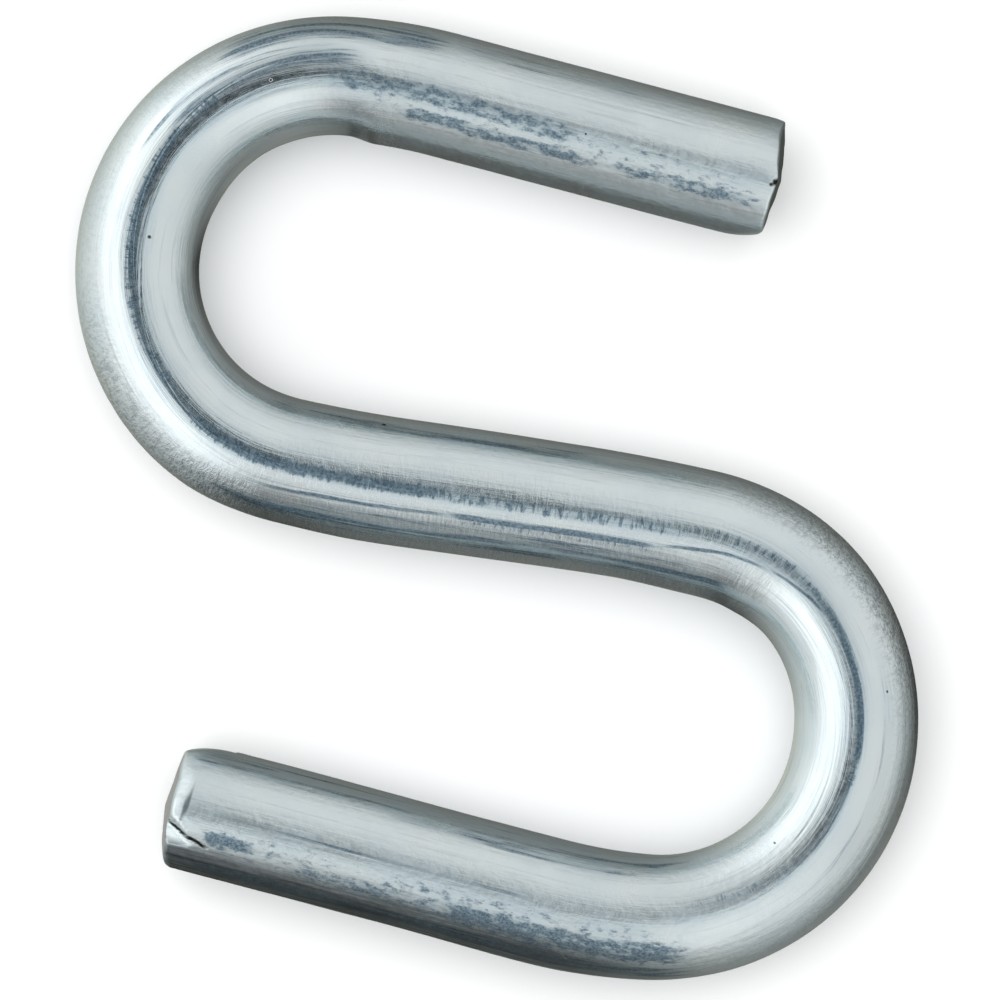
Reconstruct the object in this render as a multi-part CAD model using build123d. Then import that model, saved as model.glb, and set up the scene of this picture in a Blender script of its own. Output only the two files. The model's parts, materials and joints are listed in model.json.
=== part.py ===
from build123d import *
import os

# An open S hook: one round steel rod bent into two hooks that open opposite ways.
# It lies flat. Z = 0 is the plane under the rod, the origin is below the middle of the middle leg,
# +X runs along the middle leg and the upper hook lies on its +Y side.
# All lengths are in millimetres and all angles in degrees.

# The rod
rod_diameter = 7.94
# The middle leg, between the two hooks
middle_straight = 11.7
# Each hook, from the middle leg outwards: a gentle lead-in, the tight bend, and an easing lead-out
saddle_radius = 8.34
lead_in_radius = 99.0
lead_in_turn = 4.3
lead_out_radius = 35.0
lead_out_turn = 10.1
# How far each free leg leans in, past parallel with the middle leg
leg_lean = 6.4
# The straight free legs, from the end of the lead-out to the tip
upper_leg_straight = 21.9
lower_leg_straight = 25.0
# The cropped ends: a low crown across each end face, a roll-over where the shear blade pressed the
# throat side of the rod in before it cut, and the broken edge that the plating leaves on the rim
crown_height = 0.4
rollover_depth = 0.65
rollover_length = 3.6
rim_chamfer = 0.25

rod_radius = rod_diameter / 2
bend_radius = saddle_radius + rod_radius
bend_turn = 180 + leg_lean - lead_in_turn - lead_out_turn


def half_path(leg_straight):
    """The rod's centreline from the middle leg's end at +X to a tip, turning clockwise all the way."""
    lead_in = JernArc((middle_straight / 2, 0), (1, 0), lead_in_radius, -lead_in_turn)
    bend = JernArc(lead_in @ 1, lead_in % 1, bend_radius, -bend_turn)
    lead_out = JernArc(bend @ 1, bend % 1, lead_out_radius, -lead_out_turn)
    leg = Line(lead_out @ 1, lead_out @ 1 + (lead_out % 1) * leg_straight)
    return [lead_in, bend, lead_out, leg]


def end_waste(leg):
    """What the shear leaves off beyond a leg's tip: a prism drawn along the leg, throat side at -Y."""
    margin = rod_diameter
    side = rod_radius + margin
    shoulder = (-rollover_length, -rod_radius)
    inner_corner = (-crown_height, rollover_depth - rod_radius)
    outer_corner = (-crown_height, rod_radius)
    outline = Curve() + [
        TangentArc(shoulder, inner_corner, tangent=(1, 0)),
        Polyline(
            inner_corner,
            (0, 0),
            outer_corner,
            (-crown_height, side),
            (margin, side),
            (margin, -side),
            (-rollover_length, -side),
            shoulder,
        ),
    ]
    along = leg % 1
    across = along.rotate(Axis.Z, 90)
    tip_plane = Plane(origin=leg @ 1, x_dir=along, z_dir=along.cross(across))
    return tip_plane * extrude(make_face(outline), amount=side, both=True)


def cropped_rim(rod, tips):
    """The edges round the cropped faces, without the ridge that runs across each tip."""
    edges = rod.faces().filter_by(GeomType.PLANE).edges()
    return [edge for edge in edges if all(edge.distance_to(tip) > rim_chamfer for tip in tips)]


def hook():
    """The bent and cropped rod, lying on Z = 0."""
    lower = half_path(lower_leg_straight)
    upper = [edge.rotate(Axis.Z, 180) for edge in half_path(upper_leg_straight)]
    middle = Line((-middle_straight / 2, 0), (middle_straight / 2, 0))
    path = Wire([*upper, middle, *lower])
    start = Plane(origin=path @ 0, z_dir=path % 0)
    rod = sweep(start * Circle(rod_radius), path=path)
    rod -= end_waste(lower[-1])
    rod -= end_waste(upper[-1])
    rod = chamfer(cropped_rim(rod, [lower[-1] @ 1, upper[-1] @ 1]), rim_chamfer)
    return Pos(0, 0, rod_radius) * rod


part = hook()
part.label = "hook"
os.makedirs("parts", exist_ok=True)
export_step(part, "parts/hook.step")
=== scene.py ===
import json
import math
from types import SimpleNamespace

import bpy
import numpy as np
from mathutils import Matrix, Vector, noise


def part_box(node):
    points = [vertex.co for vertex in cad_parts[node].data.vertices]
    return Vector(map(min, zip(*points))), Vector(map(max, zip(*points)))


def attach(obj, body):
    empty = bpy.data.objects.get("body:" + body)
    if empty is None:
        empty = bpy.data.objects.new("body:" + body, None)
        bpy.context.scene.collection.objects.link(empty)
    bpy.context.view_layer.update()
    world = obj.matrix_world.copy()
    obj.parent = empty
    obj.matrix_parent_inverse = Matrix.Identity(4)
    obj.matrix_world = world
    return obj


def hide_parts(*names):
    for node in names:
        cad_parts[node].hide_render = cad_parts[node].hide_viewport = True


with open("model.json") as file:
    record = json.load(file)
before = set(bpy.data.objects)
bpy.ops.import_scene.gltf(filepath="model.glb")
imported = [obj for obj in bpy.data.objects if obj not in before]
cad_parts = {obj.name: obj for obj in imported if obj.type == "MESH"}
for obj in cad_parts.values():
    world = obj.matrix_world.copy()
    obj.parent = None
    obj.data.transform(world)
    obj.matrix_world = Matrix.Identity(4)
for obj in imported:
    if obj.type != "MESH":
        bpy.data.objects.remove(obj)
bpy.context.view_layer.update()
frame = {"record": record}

# An open S hook of zinc-plated rod, lying on a pale floor. The visible mesh stands for the CAD solid and
# follows the same centreline. The rod's sizes are in millimetres and turn into metres in the mesh, and the
# studio's are in metres. A place is a distance along the rod from its upper tip.
MM = 0.001
hook_low, hook_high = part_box("hook")
mounts = {mount["name"]: mount for mount in frame["record"]["mounts"]}

# Sizes that the frame gives
rod_radius = (hook_high[2] - hook_low[2]) / 2 / MM
saddle_radius = mounts["upper_saddle"]["dims"]["r_mm"]
upper_axis = mounts["upper_leg"]["axis"]
leg_lean = math.atan2(-upper_axis[1], upper_axis[0])

# Sizes of the centreline, the same as the solid's
middle_straight = 11.7
lead_in_radius = 99.0
lead_in_turn = math.radians(4.3)
lead_out_radius = 35.0
lead_out_turn = math.radians(10.1)
upper_leg_straight = 21.9
lower_leg_straight = 25.0
bend_radius = saddle_radius + rod_radius
bend_turn = math.pi + leg_lean - lead_in_turn - lead_out_turn

# One hook from the middle leg outwards, as (length, curvature). Walked from the upper tip, the upper hook
# turns left and the lower one right.
one_hook = [
    (lead_in_radius * lead_in_turn, 1 / lead_in_radius),
    (bend_radius * bend_turn, 1 / bend_radius),
    (lead_out_radius * lead_out_turn, 1 / lead_out_radius),
]
stretches = (
    [(upper_leg_straight, 0.0)]
    + one_hook[::-1]
    + [(middle_straight, 0.0)]
    + [(length, -curvature) for length, curvature in one_hook]
    + [(lower_leg_straight, 0.0)]
)
rod_length = sum(length for length, _ in stretches)
middle_place = upper_leg_straight + sum(length for length, _ in one_hook) + middle_straight / 2


# ---------------------------------------------------------------- the rod's centreline

# How far to each side of a place its curvature is averaged
bend_reach = 1.2


def walk(places):
    """(x, y, heading) at each place along the rod, starting from (0, 0) with heading 0."""
    x = np.zeros_like(places)
    y = np.zeros_like(places)
    heading = np.zeros_like(places)
    start, x0, y0, h0 = 0.0, 0.0, 0.0, 0.0
    for number, (length, curvature) in enumerate(stretches):
        low = -math.inf if number == 0 else start
        high = math.inf if number == len(stretches) - 1 else start + length
        inside = (places >= low) & (places < high)
        # The last of the steps is the far end of the stretch
        steps = np.append(places[inside] - start, length)
        h = h0 + curvature * steps
        if curvature:
            dx = (np.sin(h) - np.sin(h0)) / curvature
            dy = (np.cos(h0) - np.cos(h)) / curvature
        else:
            dx = steps * math.cos(h0)
            dy = steps * math.sin(h0)
        x[inside], y[inside] = x0 + dx[:-1], y0 + dy[:-1]
        heading[inside] = h[:-1]
        start, x0, y0, h0 = start + length, x0 + dx[-1], y0 + dy[-1], h[-1]
    return x, y, heading


def centreline(places):
    """The same in the CAD's frame: the middle of the middle leg lies at the origin and runs along +X."""
    x, y, heading = walk(places)
    middle_x, middle_y, middle_heading = (values[0] for values in walk(np.array([middle_place])))
    dx, dy = x - middle_x, y - middle_y
    c, s = math.cos(-middle_heading), math.sin(-middle_heading)
    return dx * c - dy * s, dx * s + dy * c, heading - middle_heading


def bend_near(places):
    """The curvature averaged over a short reach, so that what depends on it has no step."""
    ahead = walk(places + bend_reach)[2]
    behind = walk(places - bend_reach)[2]
    return (ahead - behind) / (2 * bend_reach)


# ---------------------------------------------------------------- easing and noise


def smooth_profile(stations, places):
    """Values given at a few places, joined without corners."""
    at = np.array(sorted(stations))
    value = np.array([stations[place] for place in at])
    number = np.clip(np.searchsorted(at, places) - 1, 0, len(at) - 2)
    t = np.clip((places - at[number]) / (at[number + 1] - at[number]), 0, 1)
    t = t * t * (3 - 2 * t)
    return value[number] * (1 - t) + value[number + 1] * t


def fade(distance, reach):
    """1 at distance 0, easing to 0 at reach."""
    return np.clip(1 - distance / reach, 0, 1) ** 2


def hump(value, centre, reach):
    """1 at the centre, easing to 0 on both sides of it at reach."""
    t = np.clip(1 - np.abs(value - centre) / reach, 0, 1)
    return t * t * (3 - 2 * t)


def soft_min(a, b, blend):
    """The lesser of a and b, rounded over where they cross."""
    h = np.clip(0.5 + 0.5 * (b - a) / blend, 0, 1)
    return b * (1 - h) + a * h - blend * h * (1 - h)


# Each seed moves the noise this far along its three axes
seed_steps = (17.3, 5.1, 9.7)
wobble_seed, wrinkle_seed, ragged_seed = 1, 2, 3


def noise_at(points, seed):
    """Smooth noise, about -1 to 1, at each row of points."""
    shift = Vector([seed * step for step in seed_steps])
    return np.array([noise.noise(Vector(point) + shift) for point in points])


# ---------------------------------------------------------------- the rod's section

# How far each side stands off the true rod, at places along it: the forming tools left the rod slightly
# thin where each bend begins on its throat side and slightly wide in the straight stretches. Left and
# right are as seen from above when facing the lower tip.
left_side = {
    0: 0.06, 25.6: 0.05, 27.8: -0.27, 34: -0.22, 43: 0.0, 56: 0.0, 65: 0.1,
    76: 0.13, 93: -0.04, 99: 0.08, 110: -0.11, 125: -0.12, 136: 0.18, 145: 0.07,
}
right_side = {
    0: -0.14, 24: -0.11, 31: -0.2, 48: -0.11, 60: 0.02, 63.6: -0.1, 70: 0.02,
    86: -0.08, 91.9: 0.09, 95: 0.02, 99.9: -0.21, 112: 0.04, 140: 0.04, 152: 0.12,
}
# How many degrees the top of the section leans to the right, where a bend squeezed it
top_lean = {
    0: -4, 22: -4, 32: 3.5, 39: 4, 46: 0.5, 56: -0.5, 66: 2, 76: 2.5,
    86: 5, 92: 3, 99: -1, 107: 1, 115: 3, 123: 7, 131: -2, 160: -3,
}
# The lean is nil at mid height and grows towards the top by this power
lean_growth = 1.5

# The drawn skin's unevenness: its height, and its noise's scale along the rod and across it
wobble_height = 0.012
wobble_scale = (0.32, 0.55)
# The wrinkles outside the bends: the same, and the (place, reach) of each group
wrinkle_height = 0.011
wrinkle_scale = (1.7, 0.35)
wrinkle_groups = ((56, 11), (101, 9))
# How far out across the rod the wrinkles begin and are full, as shares of its radius
wrinkle_begin, wrinkle_full = 0.35, 0.75


def skin_relief(place, angle):
    """Small unevenness of the drawn skin, and the wrinkles outside the bends, at or below 0."""
    across, up = rod_radius * np.cos(angle), rod_radius * np.sin(angle)
    shape = np.broadcast_shapes(place.shape, angle.shape)
    place, across, up = (grid.ravel() for grid in np.broadcast_arrays(place, across, up))

    def roughness(scale, seed):
        lengthways, crossways = scale
        points = np.stack([place * lengthways, across * crossways, up * crossways], 1)
        return noise_at(points, seed) - 1

    outward = np.where(place < middle_place, across, -across) / rod_radius
    wrinkled = sum(hump(place, centre, reach) for centre, reach in wrinkle_groups)
    wrinkled = wrinkled * np.clip((outward - wrinkle_begin) / (wrinkle_full - wrinkle_begin), 0, 1)
    wobble = roughness(wobble_scale, wobble_seed) * wobble_height
    wrinkle = roughness(wrinkle_scale, wrinkle_seed) * wrinkle_height
    return (wobble + wrinkle * wrinkled).reshape(shape)


# ---------------------------------------------------------------- the cropped ends

crown_height = 0.4
# How rounded the crown's ridge is
ridge_radius = 0.3
rollover_depth = 0.65
rollover_length = 3.6
rollover_blend = 0.12
rim_radius = 0.16
# How far along the rod the skin follows the shape of its end face
follow_reach = 4.0

# How much further back the face lies at the top and bottom, at the upper end's lip and corners, and at the
# lower end's corner. The whole lower face is short of its tip too.
upper_dome = 0.3
lower_dome = 0.62
upper_lip = 0.7
upper_corner = 0.3
lower_corner = 0.5
lower_short = 0.1

# The roughness of the torn metal, and the slice of the noise that each end takes
ragged_height = 0.07
ragged_scale = 1.1
upper_slice, lower_slice = 3.0, 8.0

# Where the shear pulled the skin down. At the upper end all round: (depth, reach). At the lower end, the
# shoulder and the corner: (depth, reach, direction round the rod, reach round it in degrees)
upper_sink = (0.07, 1.2)
lower_sinks = ((0.42, 1.6, 60, 66), (0.2, 0.8, 170, 50))

# Beside the lower end the skin tore: (place, across) along the tear, and the flat that it left
tear_line = ((156.5, -2.07), (157.9, -1.7), (158.9, -1.05), (160.0, -0.5))
tear_width = 0.22
ledge_edge = -2.35
ledge_start, ledge_top, ledge_slope = 157.5, 3.34, 0.2


def end_face(near_upper, across, up):
    """How far the cropped face lies behind the tip, across the rod and up from its axis."""
    to_right = np.clip(across / rod_radius, 0, 1)
    to_left = np.clip(-across / rod_radius, 0, 1)
    to_top = np.clip(up / rod_radius, 0, 1)
    ridge = np.sqrt(across**2 + ridge_radius**2) - ridge_radius
    dome = np.where(near_upper, upper_dome, lower_dome) * (up / rod_radius) ** 2
    upper_back = upper_lip * to_right * to_top + upper_corner * to_right**2
    lower_back = lower_short + lower_corner * to_left**3
    slices = np.broadcast_to(np.where(near_upper, upper_slice, lower_slice), across.shape)
    points = np.stack([across, up, slices], -1).reshape(-1, 3) * ragged_scale
    ragged = ragged_height * noise_at(points, ragged_seed).reshape(across.shape)
    back = np.where(near_upper, upper_back, lower_back)
    return crown_height * ridge / rod_radius + dome + back + ragged


def torn_flat(place, across, up):
    """The height of the skin with the flat beside the tear pressed into it."""
    tear = np.interp(place, *zip(*tear_line))
    from_tear = np.clip((tear - across) / tear_width, 0, 1)
    from_edge = np.clip((across - ledge_edge) / tear_width, 0, 1)
    on_flat = from_tear * from_edge * (place > tear_line[0][0])
    ledge = ledge_top - ledge_slope * np.clip(place - ledge_start, 0, None)
    return up * (1 - on_flat) + np.minimum(up, ledge) * on_flat


def end_sink(near_upper, tip_distance, angle):
    """How much the shear pulled the skin down beside each end, most at the lower end's shoulder."""
    # Degrees from -90 at the underside, through 0 at the right, to 270
    turn = np.degrees((angle + math.pi / 2) % (2 * math.pi)) - 90
    depth, reach = upper_sink
    upper = depth * fade(tip_distance, reach)
    lower = 0.0
    for depth, reach, direction, spread in lower_sinks:
        lower = lower + depth * fade(tip_distance, reach) * hump(turn, direction, spread)
    return np.where(near_upper, upper, lower)


# ---------------------------------------------------------------- the rings of the mesh

ring_count = 700
round_count = 124
cap_rings = 14
rim_rings = 4
fine_count = 4000
# Where the rings stand closer together: (place, reach, how much closer), at the tips and the wrinkles
dense_stretches = ((0, 7, 1.6), (56, 9, 0.9), (101, 9, 0.9), (rod_length, 7, 1.6))


def spread_places():
    """Places of the rings along the rod."""
    fine = np.linspace(0, rod_length, fine_count)
    density = 1 + sum(gain * hump(fine, centre, reach) for centre, reach, gain in dense_stretches)
    count = np.cumsum(density) - density[0]
    return np.interp(np.linspace(0, count[-1], ring_count), count, fine)


def ring_columns():
    """Each ring's place, how far the rounded rim cuts it in, and its share of the rod's radius."""
    end = []
    for number in range(1, rim_rings + 1):
        turn = number / rim_rings * math.pi / 2
        end.append((rim_radius * (1 - math.sin(turn)), rim_radius * (1 - math.cos(turn)), 1.0))
    for number in range(1, cap_rings):
        end.append((0.0, rim_radius, 1 - number / cap_rings))
    side = spread_places()
    side = side[(side > rim_radius) & (side < rod_length - rim_radius)]
    rings = end[::-1]
    rings += [(place, 0.0, 1.0) for place in side]
    rings += [(rod_length - place, cut, share) for place, cut, share in end]
    return (np.array(values)[:, None] for values in zip(*rings))


def hook_surface():
    """The rod laid straight: (place, across, up) at every point of every ring, and each ring's share."""
    place, cut, share = ring_columns()
    angle = np.linspace(-math.pi / 2, 1.5 * math.pi, round_count, endpoint=False)[None, :]
    near_upper = place < rod_length / 2
    tip_distance = np.where(near_upper, place, rod_length - place)

    left = smooth_profile(left_side, place)
    right = smooth_profile(right_side, place)
    lean = np.radians(smooth_profile(top_lean, place))
    radius = rod_radius + (left + right) / 2 * (np.cos(2 * angle) + np.abs(np.cos(angle))) / 2
    radius = radius + rod_radius * lean * np.cos(angle) * np.clip(np.sin(angle), 0, 1) ** lean_growth
    radius = radius + skin_relief(place, angle) - end_sink(near_upper, tip_distance, angle)
    across = (radius - cut) * share * np.cos(angle)
    up = (np.minimum(radius, rod_radius) - cut) * share * np.sin(angle)

    # The shear rolled the throat side over beside each tip
    throat = np.where(near_upper, -1.0, 1.0)
    inward = across * throat
    limit = (rod_radius - rollover_depth * fade(tip_distance, rollover_length) - cut) * share
    pressed = soft_min(inward, limit, rollover_blend)
    inward = np.where(tip_distance < rollover_length, pressed, inward)
    across = inward * throat + (right - left) / 2
    up = torn_flat(place, across, up)

    follow = np.where(share < 1, 1.0, fade(tip_distance, follow_reach))
    behind = end_face(near_upper, across, up) * follow
    place = np.where(near_upper, place + behind, place - behind)
    return place, across, up, np.broadcast_to(share, place.shape)


# ---------------------------------------------------------------- the map for the bake

# The rod is unrolled in three strips, with both end faces in a column beside them
strip_count = 3
strip_width = 0.86
strip_gap = 0.012
strip_height = 1 - 3 * strip_gap
cap_map_radius = 0.055
cap_map_u = (1 + strip_width + strip_gap) / 2
upper_cap_v, lower_cap_v = 0.75, 0.25


def map_corners(faces, share):
    """The place of each quad's corners on the bake map."""
    rows, columns = share.shape
    row, column = np.divmod(faces, columns)
    low_row = row.min(1)
    high_row = np.minimum(row.max(1), rows - 1)
    side = (share[low_row, 0] == 1) & (share[high_row, 0] == 1)
    first, last = low_row[side].min(), low_row[side].max() + 1
    per_strip = math.ceil((last - first) / strip_count)
    strip = np.clip((low_row - first) // per_strip, 0, strip_count - 1)[:, None]
    wrapped = np.where((column == 0) & (column.max(1) == columns - 1)[:, None], columns, column)
    side_u = (row - first - strip * per_strip) / per_strip * strip_width + strip_gap / 2
    side_v = (strip + strip_gap + wrapped / columns * strip_height) / strip_count

    turn = column / columns * 2 * math.pi
    spread = share[row, 0] * cap_map_radius
    upper = (low_row < rows / 2)[:, None]
    cap_u = cap_map_u + spread * np.cos(turn)
    cap_v = np.where(upper, upper_cap_v, lower_cap_v) + spread * np.sin(turn)
    on_cap = ~side[:, None]
    return np.stack([np.where(on_cap, cap_u, side_u), np.where(on_cap, cap_v, side_v)], -1)


def map_lids():
    """The corners of the two small faces that close the middles of the end faces."""
    turn = np.arange(round_count) / round_count * 2 * math.pi
    lid = np.stack([np.cos(turn), np.sin(turn)], 1) * cap_map_radius / cap_rings
    return np.vstack([lid + (cap_map_u, upper_cap_v), lid[::-1] + (cap_map_u, lower_cap_v)])


# ---------------------------------------------------------------- the hook's mesh


def store(mesh, name, kind, field, values):
    """Keep a value at each point of the mesh, for the material to read."""
    attribute = mesh.attributes.new(name, kind, "POINT")
    attribute.data.foreach_set(field, values.astype(np.float32).ravel())


def build_hook():
    """The whole hook as one closed mesh: a grid of quads, and a lid in the middle of each end face."""
    place, across, up, share = hook_surface()
    grid = np.arange(place.size).reshape(place.shape)
    near, far = grid[:-1], grid[1:]
    quads = np.stack([near, far, np.roll(far, -1, 1), np.roll(near, -1, 1)], -1).reshape(-1, 4)
    lids = [grid[0].tolist(), grid[-1][::-1].tolist()]

    place, across, up = place.ravel(), across.ravel(), up.ravel()
    x, y, heading = centreline(place)
    x = x + across * np.sin(heading)
    y = y - across * np.cos(heading)
    points = np.stack([x, y, up + rod_radius], 1) * MM
    mesh = bpy.data.meshes.new("zinc_hook")
    mesh.from_pydata(points.tolist(), [], quads.tolist() + lids)
    mesh.shade_smooth()

    corners = np.vstack([map_corners(quads, share).reshape(-1, 2), map_lids()])
    bake_map = mesh.uv_layers.new(name="OFBake")
    bake_map.uv.foreach_set("vector", corners.astype(np.float32).ravel())
    store(mesh, "straight", "FLOAT_VECTOR", "vector", np.stack([place, across, up], 1))
    store(mesh, "stretch", "FLOAT", "value", bend_near(place) * across)
    store(mesh, "end_part", "FLOAT", "value", share < 1)
    mesh.validate()
    piece = bpy.data.objects.new("zinc_hook", mesh)
    bpy.context.scene.collection.objects.link(piece)
    return piece


# ---------------------------------------------------------------- node helpers


class Nodes:
    """Small helpers for writing a node tree as expressions."""

    def __init__(self, tree):
        self.tree = tree
        tree.nodes.clear()

    def add(self, kind, **settings):
        """A new node with the given settings."""
        node = self.tree.nodes.new(kind)
        for name, value in settings.items():
            setattr(node, name, value)
        return node

    def set(self, socket, value):
        """Link the socket to an output, or set it to a plain value."""
        if isinstance(value, bpy.types.NodeSocket):
            self.tree.links.new(value, socket)
        else:
            socket.default_value = value

    def math(self, operation, *values, clamp=False):
        """The result of a math node."""
        node = self.add("ShaderNodeMath", operation=operation, use_clamp=clamp)
        for socket, value in zip(node.inputs, values):
            self.set(socket, value)
        return node.outputs[0]

    def vector(self, operation, *values):
        """A vector math node with its inputs set."""
        node = self.add("ShaderNodeVectorMath", operation=operation)
        for socket, value in zip(node.inputs, values):
            self.set(socket, value)
        return node

    def attribute(self, name, field="Fac"):
        """A value that is stored in the mesh."""
        return self.add("ShaderNodeAttribute", attribute_name=name).outputs[field]

    def split(self, vector):
        """The three parts of a vector."""
        node = self.add("ShaderNodeSeparateXYZ")
        self.set(node.inputs[0], vector)
        return node.outputs

    def noise(self, vector, scale, detail, roughness):
        """Noise from 0 to 1."""
        node = self.add("ShaderNodeTexNoise")
        self.set(node.inputs["Vector"], vector)
        self.set(node.inputs["Scale"], scale)
        self.set(node.inputs["Detail"], detail)
        self.set(node.inputs["Roughness"], roughness)
        return node.outputs["Fac"]

    def span(self, value, low, high, to_low=0.0, to_high=1.0, smooth=True):
        """The value taken from low to high into to_low to to_high, held past both ends."""
        node = self.add("ShaderNodeMapRange", interpolation_type="SMOOTHSTEP" if smooth else "LINEAR")
        for socket, number in zip(node.inputs, (value, low, high, to_low, to_high)):
            self.set(socket, number)
        return node.outputs[0]

    def band(self, value, begin, full, drop, end):
        """1 from full to drop, easing to 0 at begin and end."""
        return self.math("MULTIPLY", self.span(value, begin, full), self.span(value, drop, end, 1.0, 0.0))

    def mix(self, factor, a, b, blend="MIX"):
        """Colour a turned into b by the factor."""
        node = self.add("ShaderNodeMix", data_type="RGBA", blend_type=blend)
        self.set(node.inputs[0], factor)
        self.set(node.inputs[6], a)
        self.set(node.inputs[7], b)
        return node.outputs[2]

    def ramp(self, value, stops):
        """A straight-line colour ramp with stops of (place, colour)."""
        node = self.add("ShaderNodeValToRGB")
        node.color_ramp.interpolation = "LINEAR"
        elements = node.color_ramp.elements
        while len(elements) < len(stops):
            elements.new(0.5)
        for element, (place, _) in zip(elements, stops):
            element.position = place
        for element, (_, colour) in zip(elements, stops):
            element.color = (*colour, 1.0)
        self.set(node.inputs[0], value)
        return node.outputs[0]


# ---------------------------------------------------------------- the marks on the zinc plating

# The dark patches in the next three lists are partly stains and partly painted reflection of the dark patch
# overhead
# All marks are on the top of the rod, as straight strokes:
# (from place, to place, across at the start, across at the end, half width, strength).
# In the first three kinds the strength is the share of the stroke that is dark.
# Dark patches that break up into dashes
dashed = [
    (1.0, 28.0, -1.4, -1.2, 1.1, 0.26),
    (126.0, 157.0, -1.7, -1.5, 1.2, 0.26),
    (0.8, 10.8, -1.9, -1.8, 0.5, 0.6),
    (3.0, 12.0, -0.7, -0.7, 0.35, 0.3),
    (11.4, 25.0, -1.95, -1.85, 0.42, 0.72),
    (12.5, 29.5, -0.8, -0.3, 0.7, 0.64),
    (126.0, 142.0, -2.0, -1.95, 0.85, 0.8),
    (138.0, 152.0, -2.0, -1.95, 0.6, 0.55),
    (128.0, 146.0, -1.0, -1.1, 0.5, 0.36),
    (153.2, 156.8, -1.45, -1.35, 0.5, 0.9),
    (150.0, 154.0, -0.9, -0.8, 0.3, 0.3),
]
# Dark patches that are drawn out into streaks
streaked = [
    (22.0, 35.0, 2.75, 2.75, 0.7, 0.62),
    (27.0, 40.0, 1.1, 0.75, 0.6, 0.62),
    (28.0, 42.0, 1.7, 1.5, 0.4, 0.3),
    (38.0, 50.0, 0.6, 0.0, 0.38, 0.9),
    (48.0, 62.0, -0.05, 0.15, 0.3, 0.6),
    (63.0, 76.0, 1.75, 1.55, 0.15, 0.85),
    (75.0, 89.0, 1.55, 1.5, 0.2, 1.0),
    (88.0, 96.5, 1.5, 0.6, 0.13, 0.8),
    (96.0, 101.0, 0.6, 0.05, 0.12, 0.7),
    (61.0, 95.0, 2.95, 2.9, 0.42, 0.62),
    (66.0, 92.0, 2.3, 2.35, 0.3, 0.5),
    (136.0, 157.0, 0.05, 0.1, 0.12, 0.5),
    (129.0, 146.0, 2.75, 2.8, 0.3, 0.45),
    (62.0, 84.0, -3.35, -3.3, 0.3, 0.5),
    (9.0, 22.0, 2.9, 2.9, 0.35, 0.3),
    (104.0, 118.0, -1.9, -1.5, 0.35, 0.2),
    (99.0, 111.0, -0.3, 0.05, 0.28, 0.95),
    (109.0, 120.0, 0.05, 0.3, 0.2, 0.45),
    (124.0, 159.0, 3.4, 3.4, 0.5, 0.35),
    (126.0, 158.0, -3.3, -3.3, 0.4, 0.6),
]
# Dark patches that break up into hairs across the rod
haired = [
    (58.0, 76.0, 0.2, 0.3, 0.45, 0.95),
    (74.0, 90.0, 0.35, 0.3, 0.45, 0.55),
    (88.0, 99.0, 0.2, -0.45, 0.34, 0.42),
    (97.0, 113.0, -0.35, 0.15, 0.26, 0.55),
    (34.0, 58.0, 0.65, -0.1, 0.4, 0.6),
    (118.0, 126.0, 0.4, 1.05, 0.35, 0.3),
    (75.0, 90.0, 1.75, 1.7, 0.3, 0.4),
]
# Grooves that the drawing die left
grooves = [
    (31.0, 50.0, 1.15, -0.1, 0.07, 1.0),
    (48.0, 60.0, -0.5, 0.45, 0.08, 1.0),
    (50.0, 64.0, 1.2, 1.5, 0.1, 1.0),
    (62.0, 90.0, 1.5, 1.35, 0.09, 1.0),
    (62.0, 79.0, -1.75, -1.85, 0.08, 1.0),
    (96.0, 118.0, 1.7, 1.3, 0.08, 1.0),
    (6.0, 20.0, 1.85, 1.8, 0.08, 1.0),
    (128.0, 150.0, -3.35, -3.3, 0.09, 1.0),
    (132.0, 156.0, 1.5, 1.55, 0.07, 1.0),
]
# The torn line where the shear began, beside the lower end, and a nick in the upper end's rim
torn = [
    (156.3, 157.9, -2.1, -1.75, 0.12, 1.0),
    (157.7, 159.2, -1.75, -0.95, 0.1, 1.0),
    (0.05, 0.6, -0.1, -0.35, 0.2, 1.0),
]
# A soft dark smudge along the lower end's shoulder
smudges = [(158.05, 158.45, 0.75, -0.35, 0.85, 0.8)]
# Pits in the skin: (place, across, radius)
pits = [
    (0.45, 0.3, 0.12),
    (0.62, -0.5, 0.16),
    (46.2, -0.83, 0.17),
    (32.8, 0.1, 0.12),
    (14.05, 2.9, 0.12),
    (70.6, -3.46, 0.2),
    (118.2, 2.1, 0.13),
    (12.6, -0.4, 0.1),
    (133.0, -3.0, 0.13),
    (106.4, -1.9, 0.1),
]
# A stroke is full up to this share of its half width, and gone at the second
stroke_core, stroke_edge = 0.3, 1.4
# The most that a stroke takes to begin or end
stroke_ease = 2.0
# The middle of a pit is full up to this share of its radius
pit_core = 0.4
# Where a patch breaks up: how far its noise is spread out, how much its share counts beside that, and the
# sum of both from which it begins to be dark and is fully dark. Below the least share it fades out.
noise_spread = 3.4
share_weight = 1.3
dark_from, dark_full = 0.35, 1.1
least_share = 0.25


def stroke(n, place, across, mark):
    """1 along a stroke on the skin, easing to 0 at its sides and a little past its two ends."""
    start, stop, first, last, half_width, _ = mark
    middle = n.span(place, start, stop, first, last, smooth=False)
    off = n.math("ABSOLUTE", n.math("SUBTRACT", across, middle))
    inside = n.span(off, half_width * stroke_core, half_width * stroke_edge, 1.0, 0.0)
    ease = min(stroke_ease, (stop - start) / 4)
    lasting = n.band(place, start - ease / 2, start + ease, stop - ease, stop + ease / 2)
    return n.math("MULTIPLY", inside, lasting)


def strokes(n, place, across, marks):
    """The strongest of several strokes at each point."""
    total = 0.0
    for mark in marks:
        strength = mark[-1]
        total = n.math("MAXIMUM", n.math("MULTIPLY", stroke(n, place, across, mark), strength), total)
    return total


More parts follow.
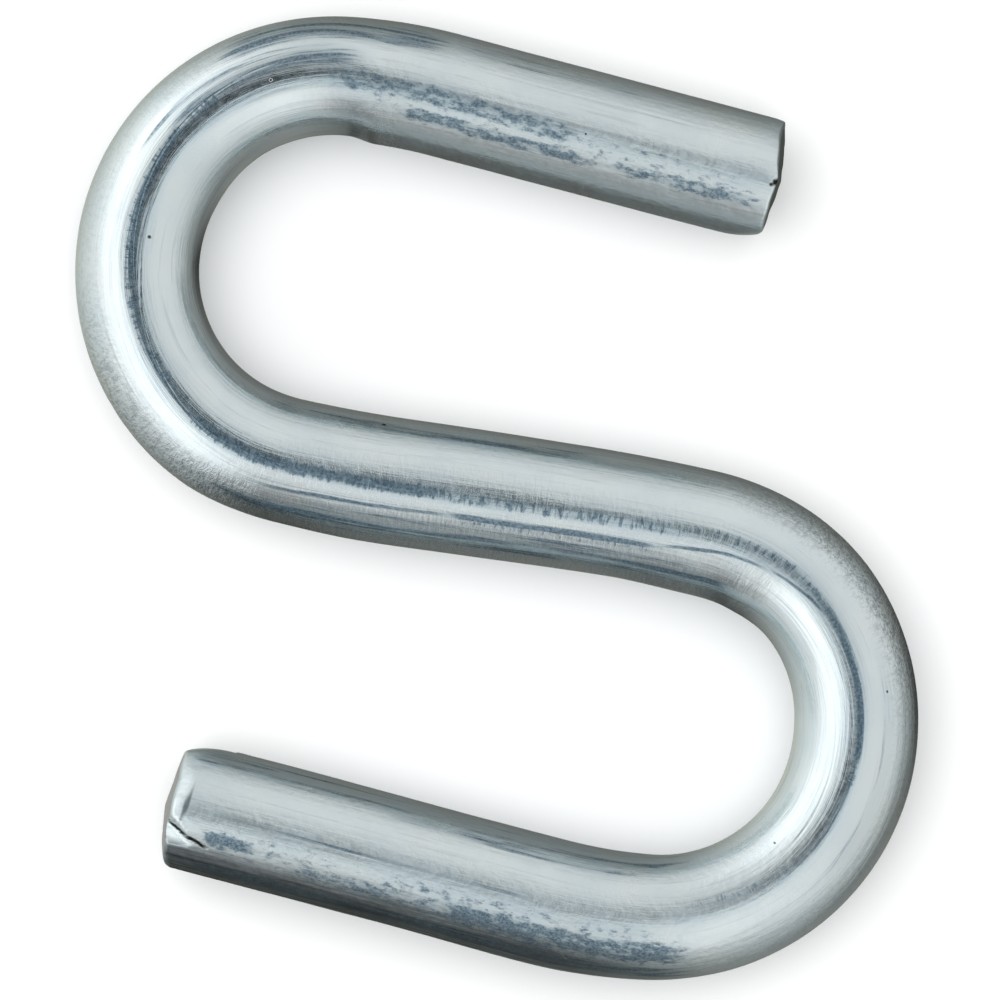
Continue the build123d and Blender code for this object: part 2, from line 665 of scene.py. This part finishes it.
def broken(n, share, pattern):
    """1 over about the given share of a surface, in the shapes of a noise pattern."""
    # Noise keeps near 0.5, so it is spread out round 0 before the share is added
    spread = n.math("MULTIPLY_ADD", pattern, noise_spread, -noise_spread / 2)
    dark = n.span(n.math("MULTIPLY_ADD", share, share_weight, spread), dark_from, dark_full)
    return n.math("MULTIPLY", dark, n.span(share, 0.0, least_share))


def pit_dots(n, straight):
    """1 in each pit, easing to 0 at its radius."""
    total = 0.0
    for place, across, radius in pits:
        centre = (place, across, math.sqrt(rod_radius**2 - across**2))
        away = n.vector("DISTANCE", straight, centre).outputs["Value"]
        total = n.math("MAXIMUM", n.span(away, radius * pit_core, radius, 1.0, 0.0), total)
    return total


# ---------------------------------------------------------------- the zinc plating

# Noise on the skin: (stretching along, across and up, scale per millimetre, detail, roughness)
skin_noises = {
    "mottle": ((1.0, 1.0, 1.0), 2.3, 2.0, 0.55),
    "speckle": ((1.0, 1.0, 1.0), 6.5, 2.0, 0.7),
    "cloud": ((1.0, 1.0, 1.0), 0.3, 3.0, 0.5),
    "dash": ((0.5, 1.0, 1.0), 2.5, 4.0, 0.66),
    "drawn": ((0.04, 1.0, 1.0), 3.2, 4.0, 0.62),
    "hair": ((1.0, 0.28, 0.28), 4.2, 3.0, 0.65),
    "crease": ((1.0, 0.45, 0.45), 4.2, 3.0, 0.7),
    "sway": ((0.4, 1.0, 1.0), 1.3, 3.0, 0.6),
    "patch": ((0.1, 0.6, 0.6), 1.6, 2.0, 0.5),
    "torn_metal": ((1.0, 1.0, 1.0), 3.0, 4.0, 0.7),
}
# Where along the rod the free legs' dull skin eases away: (dull, bright) at the upper leg, (bright, dull)
# at the lower one, and the middle leg's (begin, full, drop, end)
upper_leg_dull = (22, 31)
lower_leg_dull = (112, 125)
middle_leg_dull = (60, 68, 90, 99)
middle_leg_share = 0.4
# Where the stretched skin outside each bend creases most: (begin, full, drop, end). The stretch from which
# it creases and is fully creased, and how much it creases in the rest of the bend.
upper_crease = (48, 54, 60, 66)
lower_crease = (92, 98, 103, 110)
stretch_begin, stretch_full = 0.12, 0.24
crease_elsewhere = 0.25
# The heights above the axis where the top's marks begin and are full
top_begin, top_full = -0.4, 0.6
# How wide the strokes sway, and the share of it that the finer kinds follow
sway_width = 0.5
slight_share = 0.25
# The underside's patches: from (noise, noise) to (share, share)
underside_patches = (0.54, 0.68, 0.0, 0.42)
# The lower leg's painted dark reflection, which stands for a dark surround mirrored in its outer side: where
# it begins and is full, along the rod and across it, and its cover, from (noise, noise) to (cover, cover)
lower_leg_painted_reflection_place = (122, 134)
lower_leg_painted_reflection_across = (-1.8, -2.75)
lower_leg_painted_reflection_cover = (0.3, 0.66, 0.95, 0.45)
# How much the other layers of colour cover
haze_cover = 0.65
streak_cover = (0.54, 0.7, 0.0, 0.5)
stain_and_painted_reflection_cover = 0.9
painted_crease_shade_cover = 0.4

# Bump heights in metres. The pairs are the height all over, and what is added where the skin is dull or,
# for the hairs, on the middle leg.
mottle_bump = (6e-6, 1.8e-5)
speckle_bump = (1e-6, 1.5e-6)
hair_bump = (3e-6, 1.6e-5)
drawn_bump = 2.5e-5
crease_bump = 9e-5
groove_bump = -8e-6
pit_bump = -4e-5
tear_bump = -8e-5
torn_metal_bump = 1.2e-4

# Roughness of the bright skin by the clouds, from (noise, noise) to (rough, rough), and what is added by the
# mottling, on dull skin, in the dark patches and on the bare ends
cloud_rough = (0.3, 0.7, 0.13, 0.18)
mottle_rough = (0.4, 0.7, 0.0, 0.05)
dull_rough = 0.14
mark_rough = 0.1
end_rough = 0.2

# The plating's two tones, the haze round the dark patches, its fine dark streaks, and the patches' two
# tones. The patches and their haze are partly stains and partly painted reflection of the dark patch
# overhead.
zinc_light = (0.695, 0.76, 0.768, 1)
zinc_blue = (0.66, 0.738, 0.765, 1)
haze_colour = (0.3, 0.41, 0.455, 1)
streak_colour = (0.5, 0.55, 0.56, 1)
stain_and_painted_reflection_dark = (0.075, 0.125, 0.17, 1)
stain_and_painted_reflection_light = (0.22, 0.305, 0.37, 1)
# Painted shade in the crease hollows, the lower leg's painted dark reflection, the smudge, the pits and the
# tear
painted_crease_shade_colour = (0.2, 0.2, 0.25, 1)
lower_leg_painted_reflection_colour = (0.1, 0.125, 0.14, 1)
smudge_colour = (0.1, 0.14, 0.15, 1)
pit_colour = (0.06, 0.07, 0.07, 1)
tear_colour = (0.02, 0.02, 0.02, 1)
# The bare steel of the two cropped faces, the upper one darkened by a painted reflection of a dark surround,
# and the tint of the plating at a grazing angle
upper_bare_painted_dark = (0.18, 0.2, 0.185, 1)
lower_bare = (0.46, 0.46, 0.46, 1)
grazing_tint = (0.8, 0.8, 0.75, 1)


def read_skin(n):
    """What the material reads from the mesh, and the noise on it."""
    skin = SimpleNamespace()
    skin.straight = n.attribute("straight", "Vector")
    skin.stretch = n.attribute("stretch")
    skin.end_part = n.attribute("end_part")
    skin.place, skin.across, skin.up = n.split(skin.straight)
    for name, (stretching, scale, detail, roughness) in skin_noises.items():
        stretched = n.vector("MULTIPLY", skin.straight, stretching).outputs[0]
        setattr(skin, name, n.noise(stretched, scale, detail, roughness))
    return skin


def find_zones(n, skin):
    """Where the skin is on top, dull, or creased by the stretch outside a bend."""
    skin.top = n.span(skin.up, top_begin, top_full)
    skin.middle_leg = n.band(skin.place, *middle_leg_dull)
    legs = n.math("ADD", n.span(skin.place, *upper_leg_dull, 1.0, 0.0), n.span(skin.place, *lower_leg_dull))
    skin.dull = n.math("ADD", n.math("MULTIPLY", skin.middle_leg, middle_leg_share), legs, clamp=True)
    stretched = n.span(skin.stretch, stretch_begin, stretch_full)
    most = n.math("ADD", n.band(skin.place, *upper_crease), n.band(skin.place, *lower_crease))
    amount = n.math("MULTIPLY_ADD", most, 1 - crease_elsewhere, crease_elsewhere)
    skin.creased = n.math("MULTIPLY", stretched, amount)


def find_marks(n, skin):
    """Where the marks are. The dark patches sway a little from their straight strokes."""
    sway = n.math("MULTIPLY_ADD", skin.sway, sway_width, -sway_width / 2)
    swayed = n.math("ADD", skin.across, sway)
    slightly = n.math("MULTIPLY_ADD", sway, slight_share, skin.across)
    skin.marks, skin.haze = 0.0, 0.0

    def add_patches(share, pattern):
        skin.marks = n.math("MAXIMUM", broken(n, share, pattern), skin.marks)
        skin.haze = n.math("MAXIMUM", share, skin.haze)

    def on_top(marks, across):
        return n.math("MULTIPLY", strokes(n, skin.place, across, marks), skin.top)

    add_patches(on_top(dashed, swayed), skin.dash)
    add_patches(on_top(streaked, slightly), skin.drawn)
    add_patches(on_top(haired, slightly), skin.hair)
    # The underside has the same kind of patches, placed by noise
    patches = n.span(skin.patch, *underside_patches)
    add_patches(n.math("MULTIPLY", patches, n.math("SUBTRACT", 1.0, skin.top)), skin.dash)

    skin.groove = on_top(grooves, skin.across)
    skin.tear = on_top(torn, swayed)
    skin.smudge = on_top(smudges, swayed)
    skin.pitted = pit_dots(n, skin.straight)


def skin_bump(n, skin):
    """The finest relief: mottled and drawn skin, hairs, creases, grooves, pits and torn metal."""

    def varied(heights, where):
        all_over, added = heights
        return n.math("MULTIPLY_ADD", where, added, all_over)

    height = n.math("MULTIPLY", skin.mottle, varied(mottle_bump, skin.dull))
    layers = (
        (skin.speckle, varied(speckle_bump, skin.dull)),
        (skin.hair, varied(hair_bump, skin.middle_leg)),
        (skin.drawn, drawn_bump),
        (skin.crease, n.math("MULTIPLY", skin.creased, crease_bump)),
        (skin.groove, groove_bump),
        (skin.pitted, pit_bump),
        (skin.tear, tear_bump),
        (n.math("MULTIPLY", skin.end_part, skin.torn_metal), torn_metal_bump),
    )
    for pattern, amount in layers:
        height = n.math("MULTIPLY_ADD", pattern, amount, height)
    bump = n.add("ShaderNodeBump")
    n.set(bump.inputs["Height"], height)
    n.set(bump.inputs["Distance"], 1.0)
    n.set(bump.inputs["Strength"], 1.0)
    return bump.outputs[0]


def skin_colour(n, skin):
    """Plating in two tones with haze, streaks and dark marks that are partly stains and partly painted
    reflection, painted shade in the creases, a painted dark reflection on the lower leg, and bare steel at
    the ends.
    """
    # The patches' colour: partly stains, partly painted reflection of the dark patch overhead
    stain_and_painted_reflection = n.mix(n.span(skin.speckle, 0.35, 0.65), stain_and_painted_reflection_dark, stain_and_painted_reflection_light)
    # Painted shade in the hollows of the creases outside the bends
    painted_crease_shade = n.math("MULTIPLY", skin.creased, n.span(skin.crease, 0.54, 0.36))
    # A painted dark reflection along the lower leg's outer side, standing for a dark surround mirrored there
    along, sideways = n.span(skin.place, *lower_leg_painted_reflection_place), n.span(skin.across, *lower_leg_painted_reflection_across)
    lower_leg_painted_reflection = n.math("MULTIPLY", along, sideways)
    layers = (
        (n.math("MULTIPLY", skin.haze, haze_cover, clamp=True), haze_colour),
        (n.span(skin.drawn, *streak_cover), streak_colour),
        (n.math("MULTIPLY", skin.marks, stain_and_painted_reflection_cover), stain_and_painted_reflection),
        (n.math("MULTIPLY", painted_crease_shade, painted_crease_shade_cover), painted_crease_shade_colour),
        (n.math("MULTIPLY", lower_leg_painted_reflection, n.span(skin.drawn, *lower_leg_painted_reflection_cover)), lower_leg_painted_reflection_colour),
        (skin.smudge, smudge_colour),
        (skin.pitted, pit_colour),
        (skin.tear, tear_colour),
        # The bare ends; the upper one is darkened by a painted reflection of a dark surround
        (skin.end_part, n.mix(n.math("GREATER_THAN", skin.place, middle_place), upper_bare_painted_dark, lower_bare)),
    )
    colour = n.mix(n.span(skin.cloud, 0.35, 0.65), zinc_light, zinc_blue)
    for cover, layer in layers:
        colour = n.mix(cover, colour, layer)
    return colour


def skin_roughness(n, skin):
    """Smooth in the bends, rougher on the legs, in the dark patches and on the bare ends."""
    rough = n.math("ADD", n.span(skin.cloud, *cloud_rough), n.span(skin.mottle, *mottle_rough))
    for where, added in ((skin.dull, dull_rough), (skin.marks, mark_rough), (skin.end_part, end_rough)):
        rough = n.math("MULTIPLY_ADD", where, added, rough)
    return rough


def zinc():
    """Zinc plating on drawn rod: bright in the bends, dull on the legs, stained and with painted shade and
    reflections, and bare at the ends.
    """
    material = bpy.data.materials.new("zinc_plating")
    material.use_nodes = True
    n = Nodes(material.node_tree)
    skin = read_skin(n)
    find_zones(n, skin)
    find_marks(n, skin)
    shader = n.add("ShaderNodeBsdfPrincipled")
    n.set(shader.inputs["Base Color"], skin_colour(n, skin))
    n.set(shader.inputs["Metallic"], 1.0)
    n.set(shader.inputs["Roughness"], skin_roughness(n, skin))
    n.set(shader.inputs["Specular Tint"], grazing_tint)
    n.set(shader.inputs["Normal"], skin_bump(n, skin))
    output = n.add("ShaderNodeOutputMaterial")
    n.set(output.inputs["Surface"], shader.outputs[0])
    return material


hook = build_hook()
hook.data.materials.append(zinc())
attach(hook, "root")
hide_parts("hook")


# ---------------------------------------------------------------- the studio

floor_size = 6
floor_colour = (0.9, 0.9, 0.9, 1)

lamp_place = (-0.1, 0.08, 0.75)
lamp_size = 0.9
lamp_watts = 3.6

# The camera looks straight down. It is turned about the vertical, and the view's centre is given as turned.
camera_roll = math.radians(8.36)
view_width = 63.01 * MM
view_height = 0.45
view_centre = (0.212 * MM, -0.17 * MM)
sensor_width = 36.0
clip_near, clip_far = 0.05, 20.0

# Brightness of the light tent by direction. Each row is a compass direction in the picture, in degrees
# anticlockwise from its right-hand side, and each column an angle from straight up.
tent_columns = (0, 15, 29, 45, 61, 79, 96, 118, 144)
tent = {
    -180: (0.5, 0.75, 1.25, 1.55, 1.35, 1.0, 0.9, 0.8, 0.7),
    -140: (0.5, 0.75, 1.4, 1.6, 1.1, 0.75, 0.65, 0.45, 0.35),
    -122: (0.5, 0.75, 1.25, 1.35, 1.0, 0.65, 0.45, 0.3, 0.25),
    -110: (0.5, 0.6, 0.75, 0.5, 0.27, 0.14, 0.04, 0.05, 0.05),
    -98: (0.5, 0.65, 0.82, 0.72, 0.5, 0.34, 0.17, 0.18, 0.22),
    -88: (0.5, 0.85, 0.98, 1.0, 0.9, 0.62, 0.38, 0.25, 0.25),
    -76: (0.5, 0.85, 1.02, 1.15, 1.1, 0.72, 0.46, 0.3, 0.3),
    -35: (0.5, 0.85, 0.87, 0.85, 0.8, 0.68, 0.5, 0.2, 0.3),
    0: (0.5, 0.75, 0.86, 0.87, 0.86, 0.82, 0.55, 0.28, 0.05),
    40: (0.5, 0.6, 0.8, 0.87, 0.87, 0.77, 0.5, 0.3, 0.2),
    78: (0.5, 0.75, 0.85, 0.92, 0.9, 0.7, 0.45, 0.25, 0.2),
    100: (0.5, 0.5, 0.55, 0.7, 0.9, 0.7, 0.5, 0.4, 0.3),
    140: (0.5, 0.5, 0.8, 1.4, 1.65, 1.2, 1.0, 0.8, 0.7),
    180: (0.5, 0.75, 1.25, 1.55, 1.35, 1.0, 0.9, 0.8, 0.7),
}
# The tent's tint by the angle from straight up, which is 0, to straight down, which is 1
tent_tint = (
    (0.0, (0.86, 1.0, 1.08)),
    (0.16, (1.0, 1.0, 1.0)),
    (0.4, (1.0, 1.0, 1.0)),
    (0.56, (0.99, 1.02, 1.0)),
    (1.0, (1.0, 1.03, 0.98)),
)
# The dark patch overhead, where the camera stands: its direction and its two edges, in degrees
patch_azimuth, patch_zenith = 127, 7
patch_core, patch_edge = 6, 12
patch_level = 0.06
patch_colour = (patch_level * 0.8, patch_level, patch_level * 1.15, 1)


def build_floor():
    """A wide pale floor that the rod doesn't mirror."""
    bpy.ops.mesh.primitive_plane_add(size=floor_size, location=(0, 0, 0))
    floor = bpy.context.object
    floor.name = "floor"
    material = bpy.data.materials.new("pale_floor")
    material.use_nodes = True
    shader = material.node_tree.nodes["Principled BSDF"]
    shader.inputs["Base Color"].default_value = floor_colour
    shader.inputs["Roughness"].default_value = 1.0
    floor.data.materials.append(material)
    floor.visible_glossy = False


def tent_light(n, azimuth, zenith):
    """The tent's brightness: each row is a ramp over the zenith angle, blended round the compass."""
    total = (0.0, 0.0, 0.0)
    azimuths = list(tent)
    for number, middle in enumerate(azimuths):
        stops = [(angle / 180, (level,) * 3) for angle, level in zip(tent_columns, tent[middle])]
        share = 1.0
        if number > 0:
            share = n.span(azimuth, azimuths[number - 1], middle, smooth=False)
        if number < len(azimuths) - 1:
            falling = n.span(azimuth, middle, azimuths[number + 1], 1.0, 0.0, smooth=False)
            share = n.math("MULTIPLY", share, falling)
        total = n.vector("MULTIPLY_ADD", n.ramp(zenith, stops), share, total).outputs[0]
    return total


def overhead_patch(n, direction):
    """1 in the dark patch overhead, easing to 0 at its edge."""
    lean, turn = math.radians(patch_zenith), math.radians(patch_azimuth)
    aim = (math.sin(lean) * math.cos(turn), math.sin(lean) * math.sin(turn), math.cos(lean))
    toward = n.vector("DOT_PRODUCT", direction, aim).outputs["Value"]
    edge, core = math.cos(math.radians(patch_edge)), math.cos(math.radians(patch_core))
    return n.span(toward, edge, core)


def build_world():
    """A light tent with a dark patch overhead."""
    world = bpy.data.worlds.new("light_tent")
    world.use_nodes = True
    bpy.context.scene.world = world
    n = Nodes(world.node_tree)
    turned = n.add("ShaderNodeVectorRotate", rotation_type="Z_AXIS")
    n.set(turned.inputs["Vector"], n.add("ShaderNodeTexCoord").outputs["Generated"])
    n.set(turned.inputs["Angle"], -camera_roll)
    direction = turned.outputs[0]
    right, up, height = n.split(direction)
    zenith = n.math("DIVIDE", n.math("ARCCOSINE", height), math.pi)
    azimuth = n.math("MULTIPLY", n.math("ARCTAN2", up, right), 180 / math.pi)

    light = n.mix(1.0, tent_light(n, azimuth, zenith), n.ramp(zenith, tent_tint), "MULTIPLY")
    dark = n.mix(overhead_patch(n, direction), (1, 1, 1, 1), patch_colour)
    background = n.add("ShaderNodeBackground")
    n.set(background.inputs["Color"], n.mix(1.0, light, dark, "MULTIPLY"))
    output = n.add("ShaderNodeOutputWorld")
    n.set(output.inputs["Surface"], background.outputs[0])


def build_light():
    """One large soft lamp, up and to the left, that lights the floor and isn't mirrored in the rod."""
    data = bpy.data.lights.new("soft_lamp", "AREA")
    data.shape = "DISK"
    data.size = lamp_size
    data.energy = lamp_watts
    lamp = bpy.data.objects.new("soft_lamp", data)
    lamp.location = lamp_place
    lamp.rotation_euler = (-lamp.location).to_track_quat("-Z", "Y").to_euler()
    lamp.visible_glossy = False
    bpy.context.scene.collection.objects.link(lamp)


def build_camera():
    """A camera straight above the hook, that sees the width wanted at the height of the rod's axis."""
    data = bpy.data.cameras.new("camera")
    data.sensor_width = sensor_width
    data.lens = sensor_width * (view_height - rod_radius * MM) / view_width
    data.clip_start, data.clip_end = clip_near, clip_far
    camera = bpy.data.objects.new("camera", data)
    c, s = math.cos(camera_roll), math.sin(camera_roll)
    x, y = view_centre
    camera.location = (x * c - y * s, x * s + y * c, view_height)
    camera.rotation_euler = (0.0, 0.0, camera_roll)
    bpy.context.scene.collection.objects.link(camera)
    bpy.context.scene.camera = camera


build_floor()
build_world()
build_light()
build_camera()
bpy.context.scene.view_settings.view_transform = "Standard"
